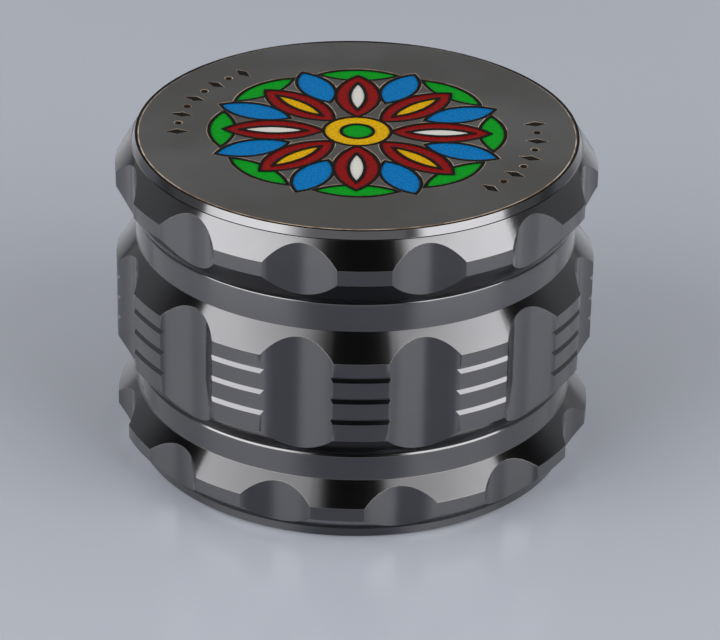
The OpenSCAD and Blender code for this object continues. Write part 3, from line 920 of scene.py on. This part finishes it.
class Finish(Tree):
    """A material whose patterns follow the object's own coordinates."""

    def __init__(self, name):
        self.material = bpy.data.materials.new(name)
        super().__init__(self.material)
        self.place = self.add("ShaderNodeTexCoord").outputs["Object"]

    def axis(self, letter):
        return self.part(self.place, letter)

    def radius(self):
        x = self.axis("X")
        y = self.axis("Y")
        return self.math("SQRT", x * x + y * y)

    def stretched(self, scale):
        node = self.add("ShaderNodeMapping", None, {"Vector": self.place, "Scale": scale})
        return node.outputs["Vector"]

    def combined(self, x, y, z):
        return self.add("ShaderNodeCombineXYZ", None, {"X": x, "Y": y, "Z": z}).outputs["Vector"]

    def noise(self, scale, detail=2, vector=None, roughness=0.5):
        """Noise from 0 to 1. The scale is in lumps per metre."""
        sockets = {"Vector": vector or self.place, "Scale": scale, "Detail": detail, "Roughness": roughness}
        return Number(self, self.add("ShaderNodeTexNoise", None, sockets).outputs["Fac"])

    def colour_mix(self, share, first, second):
        """A colour between two others, each a colour or a link."""
        colours = [(*colour, 1) if isinstance(colour, tuple) else colour for colour in (first, second)]
        sockets = {0: share, 6: colours[0], 7: colours[1]}
        return self.add("ShaderNodeMix", {"data_type": "RGBA"}, sockets).outputs[2]

    def bump(self, height, depth, under=None):
        """A relief of a depth in millimetres, over another one or the bare surface."""
        sockets = {"Height": height, "Distance": depth * MM, "Strength": 1.0}
        if under is not None:
            sockets["Normal"] = under
        return self.add("ShaderNodeBump", None, sockets).outputs["Normal"]

    def surface(self, **sockets):
        """Ends the material in a Principled shader. Socket names are given with _ for a space."""
        named_sockets = {name.replace("_", " "): value for name, value in sockets.items()}
        shader = self.add("ShaderNodeBsdfPrincipled", None, named_sockets)
        self.add("ShaderNodeOutputMaterial", None, {"Surface": shader.outputs["BSDF"]})
        return self.material


def gunmetal(name, plating, rubbed, rough):
    """Turned aluminium under a dark satin plating, with a fine grain and faint turning lines. Plating and
    rubbed are the colours that its soft handling marks lie between."""
    f = Finish(name)
    lines = f.noise(5200, 2, f.combined(f.radius(), f.axis("Z"), 0.0))
    grain = f.noise(9000, 3, roughness=0.6)
    smudge = f.ramp(f.noise(95, 3), 0.4, 0.8)
    tint = f.colour_mix(smudge, plating, rubbed)
    sheen = rough + 0.03 * smudge + 0.03 * (lines - 0.5) + 0.05 * (grain - 0.5)
    relief = f.bump(lines, 0.0005, f.bump(grain, 0.0006))
    return f.surface(Base_Color=tint, Metallic=1.0, Roughness=sheen, Normal=relief)


def seal_polymer():
    f = Finish("seal_polymer")
    grain = f.noise(6000, 3)
    shade = f.colour_mix(grain, (0.018, 0.018, 0.019), (0.04, 0.038, 0.036))
    return f.surface(Base_Color=shade, Roughness=0.5 + 0.15 * grain, Normal=f.bump(grain, 0.004))


def spring_steel(name, colour, rough):
    f = Finish(name)
    lines = f.noise(7000, 2, f.combined(f.radius(), f.axis("Z"), 0.0))
    stain = f.noise(500, 3)
    shade = f.colour_mix(stain, colour, tuple(0.86 * part for part in colour))
    return f.surface(Base_Color=shade, Metallic=1.0, Roughness=rough + 0.1 * lines + 0.05 * stain,
                     Normal=f.bump(lines, 0.001))


def disc_metal():
    """Fine matte grey plate, with a faint cloud of handling marks."""
    f = Finish("disc_metal")
    cloud = f.ramp(f.noise(60, 3), 0.35, 0.7)
    grain = f.noise(8500, 3, roughness=0.65)
    rub = f.ramp(f.noise(300, 4, f.stretched((1.0, 5.0, 1.0))), 0.5, 0.8)
    shade = f.colour_mix(cloud, (0.070, 0.069, 0.069), (0.093, 0.094, 0.096))
    rough = 0.5 + 0.05 * cloud - 0.07 * rub
    return f.surface(Base_Color=shade, Metallic=0.3, Roughness=rough, Specular_IOR_Level=0.4,
                     Normal=f.bump(grain, 0.0035))


def bronze_with_painted_highlight():
    """The sloped bronze edge of the disc and of every recess in it. Bronze is its own colour; it is made
    light and half diffuse so that it also paints a highlight line, seen from any side.
    """
    f = Finish("bronze_with_painted_highlight")
    stain = f.ramp(f.noise(420, 3), 0.4, 0.62)
    shade = f.colour_mix(stain, (0.55, 0.44, 0.33), (0.24, 0.16, 0.10))
    return f.surface(Base_Color=shade, Metallic=0.5, Roughness=0.45 + 0.1 * stain,
                     Normal=f.bump(f.noise(6000, 2), 0.002))


def adhesive_film():
    f = Finish("adhesive_film")
    fleck = f.noise(2500, 3)
    shade = f.colour_mix(fleck, (0.80, 0.77, 0.68), (0.70, 0.66, 0.56))
    return f.surface(Base_Color=shade, Roughness=0.6 + 0.1 * fleck, Normal=f.bump(fleck, 0.01))


def enamel(name, colour, deep, stipple, rough=0.42):
    """Enamel with the pebbled surface of printed colour: deep is the colour in the hollows."""
    f = Finish(name)
    pebble = f.noise(3400, 2, roughness=0.6)
    speck = f.ramp(f.noise(5200, 2), 0.6, 0.75)
    wash = f.noise(220, 2)
    ground = f.colour_mix(f.ramp(pebble, 0.35, 0.6), deep, colour)
    shade = f.colour_mix(speck * 0.5, ground, deep)
    sheen = rough + 0.1 * wash
    return f.surface(Base_Color=shade, Roughness=sheen, Specular_IOR_Level=0.06,
                     Normal=f.bump(pebble, stipple))


# ---- light, floor and camera, in degrees and metres ----

# Camera, aimed a little off the middle of the grinder
TARGET = Vector((0, 0, 0.02477))
VIEW_LIFT = 27.293
VIEW_DISTANCE = 0.4834
LENS = 182.5
AIM_DOWN = 0.9134
AIM_RIGHT = 0.0956
ROLL = 1.03

# Two large softboxes
LAMP_DISTANCE = 0.7
LAMP_FOOT = 6
LAMP_TOP = 56
LAMP_RADIANCE = 6.3
LEFT_INNER = 21
LEFT_FADE = 0.3
RIGHT_INNER = 28
RIGHT_FADE = 0.12
BOX_OUTER = 78
DIM_FROM = 0.39
DIM_TO = 0.87
DIM_SHARE = 0.35

# Low lamps at the sides, which light only the table top, for the upright faces to mirror
SIDE_AZIMUTH = 104
SIDE_SPAN = 44
SIDE_LIFT = 23
SIDE_HEIGHT = 0.15
SIDE_RADIANCE = 5.6

# Small softboxes behind, and a card in front
BACK_AZIMUTH = 147
BACK_LIFT = 20
BACK_SIZE = 0.35
BACK_RADIANCE = 1.8
CARD_LIFT = 10
CARD_WIDTH = 0.6
CARD_HEIGHT = 0.22
CARD_RADIANCE = 0.5
WARM_WHITE = (1, 0.98, 0.955)

# Table top, and a pale wall low down all round
FLOOR_SPAN = 4
FLOOR_GAP = 0.0002
WALL_TOP = 15
WALL_FADE = 29
WALL_RADIANCE = 0.42
CEILING_RADIANCE = 0.03
COOL_WHITE = (0.97, 0.98, 1, 1)


def direction(azimuth, lift):
    """Unit vector towards a lamp or the camera. Azimuth 0 is the front, and goes on to the right."""
    a = math.radians(azimuth)
    e = math.radians(lift)
    return Vector((math.sin(a) * math.cos(e), -math.cos(a) * math.cos(e), math.sin(e)))


def facing(place, target):
    return (target - place).to_track_quat("-Z", "Y").to_matrix()


def add_camera():
    lens = bpy.data.cameras.new("camera")
    lens.lens = LENS
    lens.sensor_width = 36
    lens.clip_start = 0.01
    camera = bpy.data.objects.new("camera", lens)
    bpy.context.scene.collection.objects.link(camera)
    place = TARGET + direction(0, VIEW_LIFT) * VIEW_DISTANCE
    aim = facing(place, TARGET)
    aim = aim @ Matrix.Rotation(-math.radians(AIM_DOWN), 3, "X")
    aim = aim @ Matrix.Rotation(-math.radians(AIM_RIGHT), 3, "Y")
    aim = aim @ Matrix.Rotation(math.radians(ROLL), 3, "Z")
    camera.matrix_world = Matrix.Translation(place) @ aim.to_4x4()
    bpy.context.scene.camera = camera


def softbox(name, azimuth, lift, width, height, radiance):
    """A rectangular lamp aimed at the object and hidden from the camera. Returns its object."""
    lamp = bpy.data.lights.new(name, "AREA")
    lamp.shape = "RECTANGLE"
    lamp.size = width
    lamp.size_y = height
    lamp.energy = radiance * math.pi * width * height
    lamp.color = WARM_WHITE
    box = bpy.data.objects.new(name, lamp)
    bpy.context.scene.collection.objects.link(box)
    place = TARGET + direction(azimuth, lift) * LAMP_DISTANCE
    box.matrix_world = Matrix.Translation(place) @ facing(place, TARGET).to_4x4()
    box.visible_camera = False
    return box


def wide_for(angle):
    """Width of a lamp that spans an angle as the object sees it."""
    return 2 * LAMP_DISTANCE * math.tan(math.radians(angle / 2))


def main_box(name, side, inner, fade):
    """One of the two large softboxes, to the left where side is -1 and to the right where it is 1. It
    starts at its inner azimuth, fades in over a share of its width, and dims upwards."""
    azimuth = side * (inner + BOX_OUTER) / 2
    lift = (LAMP_TOP + LAMP_FOOT) / 2
    width = wide_for(BOX_OUTER - inner)
    height = wide_for(LAMP_TOP - LAMP_FOOT)
    box = softbox(name, azimuth, lift, width, height, LAMP_RADIANCE)
    n = Tree(box.data)
    place = n.add("ShaderNodeNewGeometry").outputs["Parametric"]
    across = n.part(place, "X")
    from_inner = 1 - across if side < 0 else across
    glow = n.ramp(from_inner, 0, fade) * n.ramp(n.part(place, "Y"), DIM_FROM, DIM_TO, 1, DIM_SHARE)
    light = n.add("ShaderNodeEmission", None, {"Strength": glow})
    n.add("ShaderNodeOutputLight", None, {"Surface": light.outputs[0]})


def add_lamps(floor):
    """The studio's lamps. Those at the sides light only the floor."""
    main_box("box_left", -1, LEFT_INNER, LEFT_FADE)
    main_box("box_right", 1, RIGHT_INNER, RIGHT_FADE)
    table_top = bpy.data.collections.new("table_top")
    table_top.objects.link(floor)
    for name, side in (("left", -1), ("right", 1)):
        softbox("back_" + name, side * BACK_AZIMUTH, BACK_LIFT, BACK_SIZE, BACK_SIZE, BACK_RADIANCE)
        low = softbox("side_" + name, side * SIDE_AZIMUTH, SIDE_LIFT, wide_for(SIDE_SPAN), SIDE_HEIGHT,
                      SIDE_RADIANCE)
        low.light_linking.receiver_collection = table_top
    softbox("card_front", 0, CARD_LIFT, CARD_WIDTH, CARD_HEIGHT, CARD_RADIANCE)


def add_world():
    """A dim studio with a pale wall low down all round."""
    world = bpy.data.worlds.new("studio")
    bpy.context.scene.world = world
    n = Tree(world)
    height = n.part(n.add("ShaderNodeTexCoord").outputs["Generated"], "Z")
    wall_top = math.sin(math.radians(WALL_TOP))
    wall_fade = math.sin(math.radians(WALL_FADE))
    glow = n.ramp(height, wall_top, wall_fade, WALL_RADIANCE, CEILING_RADIANCE)
    light = n.add("ShaderNodeBackground", None, {"Color": COOL_WHITE, "Strength": glow})
    n.add("ShaderNodeOutputWorld", None, {"Surface": light.outputs[0]})


def add_floor():
    """A pale satin table top, just under the foot."""
    deselect()
    bpy.ops.mesh.primitive_circle_add(vertices=96, radius=FLOOR_SPAN, fill_type="NGON",
                                      location=(0, 0, -FLOOR_GAP))
    floor = named("floor")
    f = Finish("floor")
    mottle = f.noise(14, 2)
    shade = f.colour_mix(mottle, (0.35, 0.375, 0.435), (0.365, 0.39, 0.45))
    floor.data.materials.append(f.surface(Base_Color=shade, Roughness=0.3, IOR=1.8))
    return floor


# ---- the whole grinder ----

def dress(piece, body, slot, material, *nodes, edge=None):
    """Gives a piece its finish, and puts it on its body in place of CAD nodes. Its broken edges may have
    a finish of their own."""
    if edge:
        piece.data.materials[0] = material
        piece.data.materials[1] = edge
    else:
        piece.data.materials.clear()
        piece.data.materials.append(material)
    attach(piece, body)
    if nodes:
        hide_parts(*nodes)


add_camera()
add_world()
add_lamps(add_floor())

metal = gunmetal("gunmetal", (0.096, 0.097, 0.104), (0.106, 0.107, 0.113), 0.11)
# The broken edges of the shells take a lighter, warmer gunmetal than the faces: a painted highlight along
# every broken edge.
painted_edge_highlight = gunmetal("gunmetal_painted_edge_highlight", (0.115, 0.113, 0.11), (0.14, 0.135, 0.128), 0.24)
polymer = seal_polymer()
steel = spring_steel("spring_steel", (0.62, 0.62, 0.63), 0.2)
nickel = spring_steel("nickel", (0.66, 0.64, 0.6), 0.12)
wire = spring_steel("wire", (0.6, 0.6, 0.61), 0.28)

dress(make_base(), "base", "gunmetal", metal, "catch_base", edge=painted_edge_highlight)
dress(make_stash(), "sieve_section", "gunmetal", metal, "stash_chamber", edge=painted_edge_highlight)
dress(make_chamber(), "chamber", "gunmetal", metal, "grinding_chamber", edge=painted_edge_highlight)
dress(make_lid(), "lid", "gunmetal", metal, "lid", edge=painted_edge_highlight)
dress(make_teeth("chamber_teeth", CHAMBER_TEETH, FLOOR_TOP - TOOTH_SINK, CEILING - TOOTH_GAP),
      "chamber", "gunmetal", metal, "grinding_chamber")
dress(make_teeth("lid_teeth", LID_TEETH, CEILING + TOOTH_SINK, FLOOR_TOP + TOOTH_GAP),
      "lid", "gunmetal", metal, "lid")

SCREWED = ((STASH_FOOT, ("base_thread", "base", "catch_base"),
            ("stash_skirt_thread", "sieve_section", "stash_chamber")),
           (STASH_TOP, ("stash_thread", "sieve_section", "stash_chamber"),
            ("chamber_skirt_thread", "chamber", "grinding_chamber")))
for seam, (bore_name, lower, lower_node), (skirt_name, upper, upper_node) in SCREWED:
    start = seam - SKIRT_LENGTH + THREAD_LEAD
    outer_thread = make_thread(bore_name, THREAD_BORE_R, -RIDGE_H, start, OUTER_THREAD_LENGTH, 0)
    dress(outer_thread, lower, "gunmetal", metal, lower_node)
    inner_thread = make_thread(skirt_name, THREAD_CORE_R, RIDGE_H, start, INNER_THREAD_LENGTH, 180)
    dress(inner_thread, upper, "gunmetal", metal, upper_node)

dress(make_cloth(), "sieve_section", "mesh", wire, "sieve_mesh")
dress(make_sieve_frame(), "sieve_section", "steel", steel, "sieve_frame")
dress(make_snap_ring(), "sieve_section", "steel", steel, "sieve_snap_ring")

for node, body in (("base_seal", "base_ring"), ("chamber_seal", "chamber_ring"),
                   ("glide_ring", "lid_ring")):
    outer = reach_of(node)
    piece = flat_ring(node + "_band", outer - RING_W, outer, foot_of(node), top_of(node), RING_EDGE)
    dress(piece, body, "seal_polymer", polymer, node)

for node, body in (("chamber_magnet", "chamber"), ("lid_magnet", "lid")):
    piece = flat_disc(node + "_plug", MAGNET_R, foot_of(node), top_of(node), MAGNET_EDGE)
    dress(piece, body, "nickel", nickel, node)

film = flat_disc("adhesive_pad", reach_of("disc_adhesive"), foot_of("disc_adhesive"),
                 top_of("disc_adhesive"), FILM_EDGE)
dress(film, "lid", "adhesive", adhesive_film(), "disc_adhesive")
dress(make_disc(), "lid", "disc_metal", disc_metal(), "top_disc", edge=bronze_with_painted_highlight())

ENAMELS = {"enamel_black": ((0.009, 0.007, 0.006), (0.003, 0.003, 0.003), 0.006),
           "enamel_red": ((0.25, 0.005, 0.005), (0.13, 0.002, 0.002), 0.03),
           "enamel_blue": ((0.0, 0.17, 0.46), (0.0, 0.10, 0.30), 0.03),
           "enamel_green": ((0.0, 0.30, 0.012), (0.0, 0.20, 0.008), 0.03),
           "enamel_yellow": ((0.68, 0.40, 0.003), (0.46, 0.25, 0.0), 0.03),
           "enamel_white": ((0.60, 0.60, 0.57), (0.55, 0.55, 0.52), 0.004)}
for node, (colour, deep, stipple) in ENAMELS.items():
    dress(make_enamel(node), "lid", node, enamel(node, colour, deep, stipple), node)

bpy.context.scene.view_settings.view_transform = "Standard"
